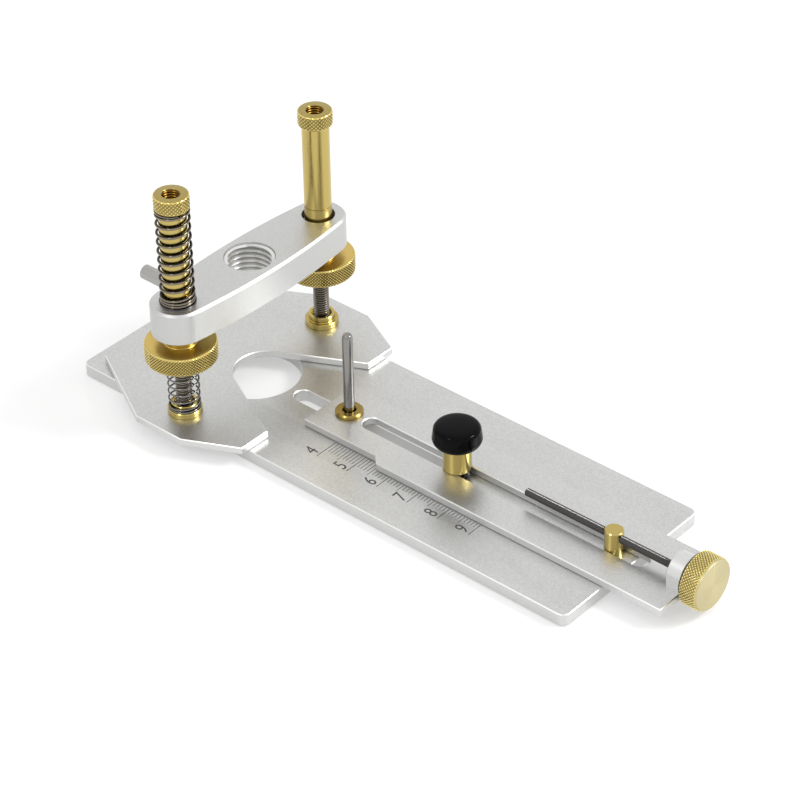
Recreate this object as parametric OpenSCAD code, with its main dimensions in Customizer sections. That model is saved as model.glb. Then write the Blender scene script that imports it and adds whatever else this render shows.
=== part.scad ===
// Sound hole cutting jig: holds a small rotary tool over a base plate, with the circle's pivot on a slide.
// X runs along the jig from the cutter to the adjusting knob, Z is up, and the cutter's axis is x = 0, y = 0.

/* [Base plate] */
// Length of the base plate
base_l = 228; // [205:1:260]
// Width of the base plate
base_w = 74.5; // [70:0.5:84]
// Thickness of the base plate
base_t = 5; // [4.5:0.25:8]
// Distance from the cutter's axis to the left end of the base plate
base_left = 53; // [49:0.5:60]
// Radius of the base plate's corners
base_corner_r = 3; // [1:0.5:8]
// Diameter of the cutter opening
opening_d = 34.5; // [28:0.5:36]
// Width of the slots in the base plate and the slide
slot_w = 7; // [6:0.25:8]
// Distance from the cutter's axis to the near end of the base plate's slot
base_slot_x0 = 20.5; // [19:0.5:26]
// Distance from the lock bolt to the far end of the base plate's slot
base_slot_past_lock = 4.2; // [3.8:0.1:12]

/* [Router base plate] */
// Thickness of the router base plate
router_t = 3; // [2.75:0.25:5]
// Distance from the cutter's axis to the left end of the router base plate
router_left = 46.8; // [42:0.2:49]
// Distance from the cutter's axis to the right end of the router base plate
router_right = 31.7; // [28:0.1:33]
// Width of the router base plate
router_w = 101.6; // [98:0.2:112]
// Width of its left end
router_left_w = 62.6; // [54:0.2:72]
// Width of its right end
router_right_w = 81.2; // [72:0.2:90]
// Length of its straight sides
router_side_l = 22; // [10:0.5:30]
// Width of the notch at the right end
notch_w = 54.6; // [44:0.2:60]
// Radius of the notch's round end
notch_r = 12.6; // [9:0.2:14]
// Distance from the cutter's axis to the centre of the round end
notch_x = 5.9; // [4:0.1:8]

/* [Posts] */
// Distance of a post from the long edge of the router base plate
post_inset = 14; // [12:0.2:16]
// Diameter of the posts' thread
post_d = 6; // [5:0.25:6.5]
// Diameter of a post's countersunk head
post_head_d = 11.4; // [10:0.2:12]
// Depth of the post's top end below the top of its cap
post_sink = 4; // [1:0.25:4.5]
// Diameter of a boss's flange
boss_d = 12.7; // [12.2:0.1:14]
// Height of a boss's flange
boss_flange_h = 2.2; // [1.5:0.1:3]
// Diameter of a boss's upper ring
boss_ring_d = 9.4; // [9:0.1:9.6]
// Height of a boss's upper ring
boss_ring_h = 2.2; // [1.5:0.1:3]
// Diameter of the recess in a boss's ring
boss_recess_d = 7.4; // [7:0.1:8]

/* [Thumb wheels] */
// Height of the thumb wheels over the router base plate
wheel_rise = 23.4; // [20:0.2:28]
// Diameter of a thumb wheel
wheel_d = 26.7; // [24:0.1:30]
// Thickness of a thumb wheel
wheel_t = 7.3; // [6:0.1:9]
// Chamfer on a thumb wheel's rim
wheel_chamfer = 0.9; // [0.4:0.1:1.4]
// Diameter of the hub that the bridge rests on
hub_d = 12; // [11.4:0.1:14]
// Height of the hub
hub_h = 4.2; // [3:0.1:6]
// Diameter of the necks and sleeves that the bridge slides on
sleeve_d = 10.2; // [9.6:0.1:10.3]
// Height of the neck's end over the bridge
neck_proud = 4.4; // [0.4:0.1:6]
// Length of a sleeve
sleeve_l = 34.1; // [30:0.1:46]
// Diameter of a cap
cap_d = 13; // [12.4:0.1:14]
// Height of a cap
cap_h = 5.7; // [4.5:0.1:7]

/* [Bridge] */
// Thickness of the bridge
bridge_t = 12.7; // [11:0.1:15]
// Width of the bridge at its middle
bridge_w = 25.2; // [23.6:0.1:30]
// Radius of the bridge's ends
bridge_end_r = 10.2; // [8.6:0.1:11]
// Diameter of the tool's nose thread
nose_thread_d = 19.05; // [16:0.05:20]
// Chamfer at the mouths of the nose thread
nose_chamfer = 0.6; // [0.2:0.1:1]
// Diameter of the recess at the top of each post hole
post_recess_d = 11.9; // [11.4:0.1:12.4]
// Depth of that recess
post_recess_h = 5; // [3:0.5:8]
// Distance of the air nipple from the left post
nipple_inset = 12.3; // [11:0.1:16]
// Diameter of the air nipple
nipple_d = 5.6; // [5:0.1:7]
// Length of the air nipple outside the bridge
nipple_l = 17.3; // [12:0.1:24]
// Depth of the air nipple in the bridge
nipple_depth = 6; // [4:0.5:7]
// Diameter of the air passage
air_d = 2.8; // [2:0.1:3.4]

/* [Springs] */
// Wire diameter of the upper spring
upper_wire_d = 1; // [0.9:0.05:1.1]
// Outer diameter of the upper spring
upper_spring_d = 13.3; // [13.2:0.1:13.6]
// Number of curls in the upper spring
upper_curls = 12; // [9:1:14]
// Diameter of the washer under the upper spring
washer_d = 13.4; // [13.4:0.1:15]
// Thickness of that washer
washer_t = 0.5; // [0.4:0.1:1]
// Wire diameter of the lower spring
lower_wire_d = 0.65; // [0.5:0.05:0.75]
// Outer diameter of the lower spring
lower_spring_d = 11.9; // [11.9:0.1:12.6]
// Number of curls in the lower spring
lower_curls = 9; // [6:1:11]

/* [Slide] */
// Distance from the cutter's axis to the left end of the slide
slide_x0 = 36.8; // [34:0.1:40]
// Length of the slide
slide_l = 162.3; // [160:0.1:180]
// Thickness of the slide
slide_t = 3; // [2.5:0.25:4]
// Width of the slide behind its pointer
slide_w = 33.7; // [31:0.1:36]
// Width of the slide in front of its pointer
slide_nose_w = 26.9; // [24:0.1:29]
// Length of the narrow part in front of the pointer
slide_nose_l = 34; // [30:0.5:38]
// Distance from the slide's left end to the near end of its slot
slide_slot_start = 17.1; // [15.5:0.1:19]
// Length of the slide's slot
slide_slot_l = 127.5; // [124:0.5:132]

/* [Pivot] */
// Distance from the slide's left end to the pivot
pivot_offset = 9.8; // [8:0.1:10.5]
// Diameter of the pivot pin
pin_d = 4; // [3:0.1:4.4]
// Height of the pivot pin over the slide
pin_rise = 34; // [25:0.5:45]
// Height of the pivot pin's and the bush's foot over the underside of the base plate
pin_foot = 0.5; // [0.2:0.1:1.5]
// Diameter of the pivot bush's flange
bush_d = 10.4; // [9.5:0.1:12]
// Height of the pivot bush's flange
bush_h = 1.6; // [1.2:0.1:2.5]

/* [Lock] */
// Distance from the cutter's axis to the lock bolt
lock_x = 97.4; // [95:0.1:100]
// Diameter of the lock bolt's thread
lock_d = 5; // [4:0.1:5.5]
// Width of the lock bolt's square head
lock_head_w = 10; // [9.6:0.1:12]
// Height of the lock bolt's head
lock_head_h = 2.2; // [1.6:0.1:2.6]
// Diameter of the lock collar
collar_d = 10.3; // [9.4:0.1:12]
// Height of the lock collar
collar_h = 10.4; // [8:0.1:13]
// Largest diameter of the lock knob
knob_d = 18.1; // [16:0.1:22]
// Height of the lock knob
knob_h = 8.7; // [8:0.1:11]
// Rounding at the knob's rim
knob_round = 2.8; // [2:0.1:3]

/* [Fine adjuster] */
// Distance of the barrel nut from the far end of the slide's slot
nut_inset = 14.7; // [14.5:0.1:18]
// Diameter of the barrel nut
nut_d = 6.8; // [5.8:0.1:6.9]
// Height of the barrel nut over the base plate
nut_h = 10.4; // [9.4:0.1:12]
// Diameter of the barrel nut's stem in the base plate
nut_stem_d = 5; // [4.4:0.1:5.4]
// Diameter of the adjusting screw's thread
screw_d = 3; // [2.6:0.1:3.4]
// Height of the adjusting screw's axis over the slide
screw_rise = 4.6; // [3.6:0.1:4.8]
// Length of the adjusting screw in front of the end bracket
screw_reach = 64.4; // [62:0.1:70]
// Thickness of the end bracket
bracket_t = 6; // [5:0.1:8]
// Height of the end bracket over the slide
bracket_h = 11.1; // [9.6:0.1:12]
// Width of the end bracket
bracket_w = 12.3; // [10.8:0.1:14]
// Diameter of the adjusting knob
adjuster_d = 19.9; // [16:0.1:21]
// Length of the adjusting knob
adjuster_l = 8.2; // [7:0.1:12]
// Chamfer on the adjusting knob
adjuster_chamfer = 0.9; // [0.4:0.1:1.4]

/* [Fits] */
// Radial clearance of running fits
run_fit = 0.05; // [0.02:0.01:0.08]
// Clearance of pieces that are fastened together
seat_fit = 0.02; // [0.01:0.01:0.05]
// Gap under sliding faces
slide_gap = 0.05; // [0.02:0.01:0.1]

/* [Hidden] */
$fn = 96;

// Colours
ALUMINIUM = [0.80, 0.81, 0.82];
BRASS = [0.72, 0.58, 0.27];
STEEL = [0.52, 0.53, 0.55];
DARK_STEEL = [0.26, 0.27, 0.29];
BLACK = [0.04, 0.04, 0.04];

// A cut runs this far past the face that it opens
past = 1;
// Segments of a circle much larger than the part
large_fn = 720;

// Heights
router_top = base_t + router_t;
slide_z = base_t + slide_gap;
slide_top = slide_z + slide_t;
boss_flange_top = router_top + boss_flange_h;
wheel_z = router_top + wheel_rise;
wheel_top = wheel_z + wheel_t;
bridge_z = wheel_top + hub_h + slide_gap;
bridge_top = bridge_z + bridge_t;
bridge_mid_z = bridge_z + bridge_t / 2;
neck_top = bridge_top + neck_proud;
sleeve_top = neck_top + sleeve_l;
cap_top = sleeve_top + cap_h;
post_top = cap_top - post_sink;
post_head_h = (post_head_d - post_d) / 2;
screw_z = slide_top + screw_rise;

// Gap between the end bracket and the adjusting knob
thrust_gap = 0.3;
// Boss on the adjusting knob's inner face
knob_boss_d = 8;
knob_boss_l = 0.6;

// Places along and across the jig
post_y = router_w / 2 - post_inset;
nipple_y = post_y - nipple_inset;
pivot_x = slide_x0 + pivot_offset;
slide_x1 = slide_x0 + slide_l;
slide_slot_x0 = slide_x0 + slide_slot_start;
slide_slot_x1 = slide_slot_x0 + slide_slot_l;
nut_x = slide_slot_x1 - nut_inset;
base_slot_x1 = lock_x + base_slot_past_lock;
bracket_x = slide_x1 - bracket_t;
screw_x0 = bracket_x - screw_reach;
adjuster_x = slide_x1 + thrust_gap + knob_boss_l;

// Screws out of sight
base_screw_d = 4;
base_screw_head_d = 7.6;
base_screw_left = 12.8;
base_screw_left_y = 20;
base_screw_right = 10.7;
base_screw_right_y = 30;
base_screw_places = [for (side = [-1, 1]) each [
    [base_screw_left - router_left, side * base_screw_left_y],
    [router_right - base_screw_right, side * base_screw_right_y]
]];
base_screw_depth = 2.2;
small_screw_d = 2.5;
small_screw_head_d = 4.8;
nut_screw_reach = 3;
bracket_screw_y = bracket_w / 2 - 2.4;
bracket_screw_reach = 3;
bracket_screw_x = bracket_x + bracket_t / 2;
ring_d = 5.4;
ring_t = 0.8;

// Edge breaks of turned pieces
small_chamfer = 0.5;
cap_chamfer = 0.7;

// Lock
lock_pocket_h = lock_head_h + 0.3;
knob_z = slide_top + slide_gap + collar_h;
insert_wall = 1.5;
insert_d = lock_d + 2 * insert_wall;
insert_h = knob_h - 2;
lock_top = knob_z + insert_h - 0.6;

// Air passage
outlet_d = 2.4;

// The bridge's sides are arcs that run into its round ends
bridge_half = bridge_w / 2;
bridge_side_r = (post_y ^ 2 + bridge_half ^ 2 - bridge_end_r ^ 2) / (2 * (bridge_half - bridge_end_r));
bridge_tangent_y = post_y * (1 + bridge_end_r / (bridge_side_r - bridge_end_r));
nipple_side_x = bridge_side_x(nipple_y);
nipple_inner_x = nipple_side_x - nipple_depth;
nipple_stem_d = nipple_d - 0.6;
nipple_shoulder_x = bridge_side_x(nipple_y - nipple_d / 2) + slide_gap;

// Springs: closed end curls, then an even pitch
end_curls = 1.5;
end_gap = 0.5;
rings_per_curl = 8;
wire_sides = 6;
upper_spring_z0 = bridge_top + washer_t + slide_gap;
upper_spring_z1 = sleeve_top - slide_gap;
lower_spring_z0 = boss_flange_top + slide_gap;
lower_spring_z1 = wheel_z - slide_gap;

// Half width of the bridge at a distance y from its middle
function bridge_side_x(y) = sqrt(bridge_side_r ^ 2 - y ^ 2) - (bridge_side_r - bridge_half);

// Height of a spring's wire after u curls
function spring_height(u, curls, wire, z0, z1) =
    let (
        low = z0 + wire / 2,
        high = z1 - wire / 2,
        end_pitch = wire + end_gap,
        end_rise = end_curls * end_pitch,
        pitch = (high - low - 2 * end_rise) / (curls - 2 * end_curls)
    )
    u < end_curls ? low + u * end_pitch
        : u > curls - end_curls ? high - (curls - u) * end_pitch
        : low + end_rise + (u - end_curls) * pitch;

// Centres and directions of a spring's rings, with a straight stretch of one wire diameter at each end
function spring_path(curls, wire, outer_d, z0, z1) =
    let (
        r = (outer_d - wire) / 2,
        steps = curls * rings_per_curl,
        turn = 360 / rings_per_curl,
        helix = [for (i = [0:steps])
            let (z = spring_height(i / rings_per_curl, curls, wire, z0, z1))
            [r * cos(i * turn), r * sin(i * turn), z, i * turn]],
        last = steps * turn,
        head = [r, -wire, helix[0].z, 0],
        tail = [r * cos(last) - wire * sin(last), r * sin(last) + wire * cos(last), helix[steps].z, last]
    )
    [head, each helix, tail];

// Least distance between two curls of a spring, less the wire
function spring_gap(path, wire) =
    min([for (i = [0:len(path) - 1], j = [i + rings_per_curl / 2 + 1:len(path) - 1])
        norm([path[i].x - path[j].x, path[i].y - path[j].y, path[i].z - path[j].z])]) - wire;

// Shared shapes
module rounded_outline(l, w, r) {
    translate([r, -w / 2]) square([l - 2 * r, w]);
    translate([0, -w / 2 + r]) square([l, w - 2 * r]);
    for (x = [r, l - r], y = [-w / 2 + r, w / 2 - r])
        translate([x, y]) circle(r);
}

module slot_outline(x0, x1, w) {
    translate([x0 + w / 2, -w / 2]) square([x1 - x0 - w, w]);
    for (x = [x0 + w / 2, x1 - w / 2])
        translate([x, 0]) circle(w / 2);
}

// A countersunk screw, or with a fit its hole, with its head's face at z = 0
module countersunk(d, head_d, l, fit = 0) {
    cone_h = (head_d - d) / 2;
    cylinder(h = cone_h, d1 = head_d + 2 * fit, d2 = d + 2 * fit);
    cylinder(h = l, d = d + 2 * fit);
}

module tube(l, outer_d, inner_d) {
    difference() {
        cylinder(h = l, d = outer_d);
        translate([0, 0, -past]) cylinder(h = l + 2 * past, d = inner_d);
    }
}

// A disc with both rims chamfered
module chamfered_disc(d, h, chamfer) {
    r = d / 2;
    rotate_extrude()
        polygon([[0, 0], [r - chamfer, 0], [r, chamfer], [r, h - chamfer], [r - chamfer, h], [0, h]]);
}

module spring(curls, wire, outer_d, z0, z1) {
    path = spring_path(curls, wire, outer_d, z0, z1);
    rings = len(path);
    points = [for (p = path, k = [0:wire_sides - 1])
        let (a = 360 * k / wire_sides, out = wire / 2 * cos(a))
        [p.x + out * cos(p[3]), p.y + out * sin(p[3]), p.z + wire / 2 * sin(a)]];
    sides = [for (i = [0:rings - 2], k = [0:wire_sides - 1])
        let (a = i * wire_sides + k, b = i * wire_sides + (k + 1) % wire_sides)
        each [[a, b, b + wire_sides], [a, b + wire_sides, a + wire_sides]]];
    start = [for (k = [1:wire_sides - 2]) [0, k + 1, k]];
    last = (rings - 1) * wire_sides;
    finish = [for (k = [1:wire_sides - 2]) [last, last + k, last + k + 1]];
    polyhedron(points = points, faces = concat(sides, start, finish));
}

module at_post(side) {
    translate([0, side * post_y, 0]) children();
}

// Base plate and router base plate
module base_plate() {
    color(ALUMINIUM) difference() {
        linear_extrude(base_t) difference() {
            translate([-base_left, 0]) rounded_outline(base_l, base_w, base_corner_r);
            circle(d = opening_d);
            slot_outline(base_slot_x0, base_slot_x1, slot_w);
        }
        translate([lock_x, 0, lock_pocket_h / 2 - past / 2])
            cube([lock_head_w + 0.2, lock_head_w + 0.2, lock_pocket_h + past], center = true);
        for (p = base_screw_places)
            translate([p.x, p.y, 0]) countersunk(base_screw_d, base_screw_head_d, base_t + past, seat_fit);
        translate([nut_x, 0, 0]) {
            countersunk(small_screw_d, small_screw_head_d, base_t, seat_fit);
            translate([0, 0, base_t - nut_screw_reach])
                cylinder(h = nut_screw_reach + past, d = nut_stem_d + 2 * seat_fit);
        }
    }
}

module notch_outline() {
    corner = [router_right, notch_w / 2];
    centre = [notch_x, 0];
    away = corner - centre;
    reach = norm(away);
    angle = atan2(away.y, away.x) + acos(notch_r / reach);
    touch = centre + notch_r * [cos(angle), sin(angle)];
    beyond = corner + (corner - touch) / norm(corner - touch) * 3 * past;
    translate(centre) circle(notch_r);
    polygon([touch, beyond, [beyond.x, -beyond.y], [touch.x, -touch.y]]);
}

module router_outline() {
    half = router_w / 2;
    side = router_side_l / 2;
    polygon([
        [-router_left, -router_left_w / 2], [-side, -half],
        [side, -half], [router_right, -router_right_w / 2],
        [router_right, router_right_w / 2], [side, half],
        [-side, half], [-router_left, router_left_w / 2]
    ]);
}

module router_base_plate() {
    color(ALUMINIUM) difference() {
        translate([0, 0, base_t]) linear_extrude(router_t) difference() {
            router_outline();
            notch_outline();
        }
        for (side = [-1, 1])
            at_post(side) translate([0, 0, base_t])
                countersunk(post_d, post_head_d, router_t + past, seat_fit);
        for (p = base_screw_places)
            translate([p.x, p.y, base_t - past])
                cylinder(h = base_screw_depth + 2 * seat_fit + past, d = base_screw_d + 2 * seat_fit);
    }
}

module base_screws() {
    color(STEEL) for (p = base_screw_places)
        translate([p.x, p.y, seat_fit])
            countersunk(base_screw_d, base_screw_head_d, base_t + base_screw_depth - seat_fit);
}

// Posts and what is screwed onto them
module post() {
    tip = small_chamfer;
    shaft_d = post_d - 2 * run_fit;
    color(DARK_STEEL) {
        translate([0, 0, base_t]) cylinder(h = post_head_h, d1 = post_head_d, d2 = post_d);
        translate([0, 0, base_t]) cylinder(h = post_top - tip - base_t, d = shaft_d);
        translate([0, 0, post_top - tip]) cylinder(h = tip, d1 = shaft_d, d2 = shaft_d - 2 * tip);
    }
}

module boss() {
    color(BRASS) translate([0, 0, router_top]) rotate_extrude() {
        bore = post_d / 2;
        ring = boss_ring_d / 2;
        recess = boss_recess_d / 2;
        rim = boss_flange_h + boss_ring_h;
        polygon([
            [bore, 0], [boss_d / 2, 0], [boss_d / 2, boss_flange_h - 0.3], [boss_d / 2 - 0.3, boss_flange_h],
            [ring, boss_flange_h], [ring, rim - small_chamfer], [ring - small_chamfer, rim],
            [recess, rim], [recess, boss_flange_h], [bore, boss_flange_h]
        ]);
    }
}

module thumb_wheel() {
    color(BRASS) translate([0, 0, wheel_z]) rotate_extrude() {
        bore = post_d / 2;
        rim = wheel_d / 2;
        c = wheel_chamfer;
        shoulder = wheel_t + hub_h;
        neck = neck_top - wheel_z;
        polygon([
            [bore, 0], [rim - c, 0], [rim, c], [rim, wheel_t - c], [rim - c, wheel_t],
            [hub_d / 2, wheel_t], [hub_d / 2, shoulder], [sleeve_d / 2, shoulder],
            [sleeve_d / 2, neck], [bore, neck]
        ]);
    }
}

module sleeve() {
    color(BRASS) translate([0, 0, neck_top]) tube(sleeve_l, sleeve_d, post_d + 2 * run_fit);
}

module cap() {
    color(BRASS) translate([0, 0, sleeve_top]) rotate_extrude() {
        bore = post_d / 2;
        rim = cap_d / 2;
        c = cap_chamfer;
        polygon([
            [bore, 0], [rim - c / 2, 0], [rim, c / 2], [rim, cap_h - c], [rim - c, cap_h],
            [bore + small_chamfer, cap_h], [bore, cap_h - small_chamfer]
        ]);
    }
}

// Bridge
module bridge_outline() {
    intersection() {
        for (side = [-1, 1])
            translate([0, side * post_y]) circle(bridge_end_r);
        square(4 * post_y, center = true);
    }
    intersection() {
        translate([bridge_half - bridge_side_r, 0]) circle(bridge_side_r, $fn = large_fn);
        translate([bridge_side_r - bridge_half, 0]) circle(bridge_side_r, $fn = large_fn);
        square([4 * bridge_half, 2 * bridge_tangent_y], center = true);
    }
}

module bridge() {
    mouth_d = nose_thread_d + 2 * nose_chamfer;
    post_hole_d = sleeve_d + 2 * run_fit;
    color(ALUMINIUM) difference() {
        translate([0, 0, bridge_z]) linear_extrude(bridge_t) bridge_outline();
        translate([0, 0, bridge_z - past]) cylinder(h = bridge_t + 2 * past, d = nose_thread_d);
        translate([0, 0, bridge_top - nose_chamfer])
            cylinder(h = nose_chamfer, d1 = nose_thread_d, d2 = mouth_d);
        translate([0, 0, bridge_z]) cylinder(h = nose_chamfer, d1 = mouth_d, d2 = nose_thread_d);
        for (side = [-1, 1]) at_post(side) {
            translate([0, 0, bridge_z - past]) cylinder(h = bridge_t + 2 * past, d = post_hole_d);
            translate([0, 0, bridge_top - post_recess_h])
                cylinder(h = post_recess_h + past, d = post_recess_d);
        }
        translate([-nipple_inner_x, -nipple_y, bridge_mid_z]) rotate([0, -90, 0])
            cylinder(h = bridge_half, d = nipple_stem_d + 2 * seat_fit);
        translate([outlet_d / 2, -nipple_y, bridge_mid_z]) rotate([0, -90, 0])
            cylinder(h = nipple_inner_x + outlet_d, d = air_d);
        translate([0, -nipple_y, bridge_z - past]) cylinder(h = bridge_t / 2 + past, d = outlet_d);
    }
}

module air_nipple() {
    color(STEEL) translate([-nipple_inner_x - seat_fit, -nipple_y, bridge_mid_z]) rotate([0, -90, 0]) {
        tube(nipple_shoulder_x - nipple_inner_x, nipple_stem_d, air_d);
        translate([0, 0, nipple_shoulder_x - nipple_inner_x]) tube(nipple_l, nipple_d, air_d);
    }
}

module spring_washer() {
    color(DARK_STEEL) at_post(-1) translate([0, 0, bridge_top])
        tube(washer_t, washer_d, sleeve_d + 4 * run_fit);
}

module upper_spring() {
    color(DARK_STEEL) at_post(-1)
        spring(upper_curls, upper_wire_d, upper_spring_d, upper_spring_z0, upper_spring_z1);
}

module lower_spring() {
    color(STEEL) at_post(-1)
        spring(lower_curls, lower_wire_d, lower_spring_d, lower_spring_z0, lower_spring_z1);
}

// Slide and pivot
module slide_outline() {
    step = (slide_w - slide_nose_w) / 2;
    nose = slide_nose_w / 2;
    half = slide_w / 2;
    difference() {
        polygon([
            [slide_x0, -nose], [slide_x0 + slide_nose_l, -nose], [slide_x0 + slide_nose_l + step, -half],
            [slide_x1, -half], [slide_x1, half], [slide_x0 + slide_nose_l + step, half],
            [slide_x0 + slide_nose_l, nose], [slide_x0, nose]
        ]);
        slot_outline(slide_slot_x0, slide_slot_x1, slot_w);
        translate([pivot_x, 0]) circle(d = slot_w - 2 * run_fit + 2 * seat_fit);
    }
}

module slide_bar() {
    color(ALUMINIUM) difference() {
        translate([0, 0, slide_z]) linear_extrude(slide_t) slide_outline();
        for (side = [-1, 1])
            translate([bracket_screw_x, side * bracket_screw_y, slide_z])
                countersunk(small_screw_d, small_screw_head_d, slide_t + past, seat_fit);
    }
}

module pivot_bush() {
    stem_r = slot_w / 2 - run_fit;
    bore_r = pin_d / 2 + run_fit;
    color(BRASS) translate([pivot_x, 0, 0]) rotate_extrude()
        polygon([
            [bore_r, pin_foot], [stem_r, pin_foot], [stem_r, slide_top], [bush_d / 2, slide_top],
            [bush_d / 2, slide_top + bush_h - small_chamfer],
            [bush_d / 2 - small_chamfer, slide_top + bush_h],
            [bore_r + small_chamfer, slide_top + bush_h], [bore_r, slide_top + bush_h - small_chamfer]
        ]);
}

module pivot_pin() {
    color(STEEL) translate([pivot_x, 0, pin_foot])
        chamfered_disc(pin_d, slide_top + pin_rise - pin_foot, small_chamfer);
}

// Lock
module lock_bolt() {
    color(STEEL) translate([lock_x, 0, 0]) {
        translate([0, 0, lock_pocket_h - seat_fit - lock_head_h / 2])
            cube([lock_head_w, lock_head_w, lock_head_h], center = true);
        translate([0, 0, lock_pocket_h - lock_head_h / 2])
            cylinder(h = lock_top - lock_pocket_h + lock_head_h / 2, d = lock_d - 2 * run_fit);
    }
}

module lock_collar() {
    color(BRASS) translate([lock_x, 0, slide_top + slide_gap]) difference() {
        chamfered_disc(collar_d, collar_h, small_chamfer);
        translate([0, 0, -past]) cylinder(h = collar_h + 2 * past, d = lock_d);
    }
}

module lock_knob() {
    color(BLACK) translate([lock_x, 0, knob_z]) rotate_extrude() {
        r = knob_d / 2;
        c = knob_round;
        bore = insert_d / 2 + seat_fit;
        polygon([
            [bore, 0], [r - c, 0], [r - c / 2, c * 0.18], [r - c * 0.18, c / 2], [r, c],
            [r - c * 0.04, c * 1.3], [r - c * 0.16, knob_h - c * 0.6], [r - c * 0.27, knob_h - c * 0.32],
            [r - c * 0.54, knob_h - c * 0.13], [r - c, knob_h - c * 0.04],
            [0, knob_h], [0, insert_h + seat_fit], [bore, insert_h + seat_fit]
        ]);
    }
}

module lock_knob_insert() {
    color(BRASS) translate([lock_x, 0, knob_z]) difference() {
        cylinder(h = insert_h, d = insert_d);
        translate([0, 0, -past]) cylinder(h = insert_h - 0.4 + past, d = lock_d);
    }
}

// Fine adjuster
module barrel_nut() {
    color(BRASS) difference() {
        translate([nut_x, 0, 0]) {
            translate([0, 0, base_t - nut_screw_reach + seat_fit])
                cylinder(h = nut_screw_reach, d = nut_stem_d);
            translate([0, 0, base_t]) cylinder(h = nut_h - 0.3, d = nut_d);
            translate([0, 0, base_t + nut_h - 0.3]) cylinder(h = 0.3, d1 = nut_d, d2 = nut_d - 0.6);
        }
        translate([nut_x - nut_d, 0, screw_z]) rotate([0, 90, 0]) cylinder(h = 2 * nut_d, d = screw_d);
        translate([nut_x, 0, base_t - nut_screw_reach - past])
            cylinder(h = nut_screw_reach + past, d = small_screw_d + 2 * seat_fit);
    }
}

module nut_screw() {
    color(STEEL) translate([nut_x, 0, seat_fit])
        countersunk(small_screw_d, small_screw_head_d, base_t - 2 * seat_fit);
}

module end_bracket() {
    color(ALUMINIUM) difference() {
        translate([bracket_x, 0, 0]) rotate([90, 0, 90]) linear_extrude(bracket_t) {
            translate([-bracket_w / 2, slide_top]) square([bracket_w, bracket_h - bracket_w / 2]);
            translate([0, slide_top + bracket_h - bracket_w / 2]) difference() {
                circle(bracket_w / 2);
                translate([-bracket_w, -2 * bracket_w]) square([2 * bracket_w, 2 * bracket_w]);
            }
        }
        translate([bracket_x - past, 0, screw_z]) rotate([0, 90, 0])
            cylinder(h = bracket_t + 2 * past, d = screw_d);
        for (side = [-1, 1])
            translate([bracket_screw_x, side * bracket_screw_y, slide_top - past])
                cylinder(h = bracket_screw_reach + 2 * seat_fit + past, d = small_screw_d + 2 * seat_fit);
    }
}

module bracket_screws() {
    color(STEEL) for (side = [-1, 1])
        translate([bracket_screw_x, side * bracket_screw_y, slide_z + seat_fit])
            countersunk(small_screw_d, small_screw_head_d, slide_t + bracket_screw_reach - seat_fit);
}

module along_x(x) {
    translate([x, 0, screw_z]) rotate([0, 90, 0]) children();
}

module adjusting_screw() {
    color(DARK_STEEL) along_x(screw_x0)
        chamfered_disc(screw_d - 2 * run_fit, adjuster_x + adjuster_l - 2 - screw_x0, 0.4);
}

module retaining_ring() {
    color(STEEL) along_x(bracket_x - slide_gap - ring_t) tube(ring_t, ring_d, screw_d);
}

module adjusting_knob() {
    color(BRASS) difference() {
        along_x(adjuster_x) difference() {
            union() {
                chamfered_disc(adjuster_d, adjuster_l, adjuster_chamfer);
                translate([0, 0, -knob_boss_l]) cylinder(h = 2 * knob_boss_l, d = knob_boss_d);
            }
            translate([0, 0, -past]) cylinder(h = adjuster_l - 2 + seat_fit + past, d = screw_d);
        }
        translate([adjuster_x + adjuster_l / 2, 0, screw_z - adjuster_d / 2 - past])
            cylinder(h = adjuster_d / 2 + past, d = small_screw_d + 2 * seat_fit);
    }
}

module grub_screw() {
    color(STEEL) translate([adjuster_x + adjuster_l / 2, 0, screw_z - adjuster_d / 2 + 1])
        cylinder(h = adjuster_d / 2 - 1 - screw_d / 2 - seat_fit, d = small_screw_d);
}

echo("least gap in the upper spring", spring_gap(
    spring_path(upper_curls, upper_wire_d, upper_spring_d, upper_spring_z0, upper_spring_z1), upper_wire_d));
echo("least gap in the lower spring", spring_gap(
    spring_path(lower_curls, lower_wire_d, lower_spring_d, lower_spring_z0, lower_spring_z1), lower_wire_d));

base_plate();
router_base_plate();
base_screws();
at_post(-1) post();  // left_post
at_post(1) post();  // right_post
at_post(-1) boss();  // left_boss
at_post(1) boss();  // right_boss
at_post(-1) thumb_wheel();  // left_thumb_wheel
at_post(1) thumb_wheel();  // right_thumb_wheel
at_post(-1) sleeve();  // left_sleeve
at_post(1) sleeve();  // right_sleeve
at_post(-1) cap();  // left_cap
at_post(1) cap();  // right_cap
bridge();
air_nipple();
spring_washer();
upper_spring();
lower_spring();
slide_bar();
pivot_bush();
pivot_pin();
lock_bolt();
lock_collar();
lock_knob();
lock_knob_insert();
barrel_nut();
nut_screw();
end_bracket();
bracket_screws();
adjusting_screw();
retaining_ring();
adjusting_knob();
grub_screw();
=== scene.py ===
import bpy
import bmesh
import math
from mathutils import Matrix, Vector
from mathutils.geometry import tessellate_polygon


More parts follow.
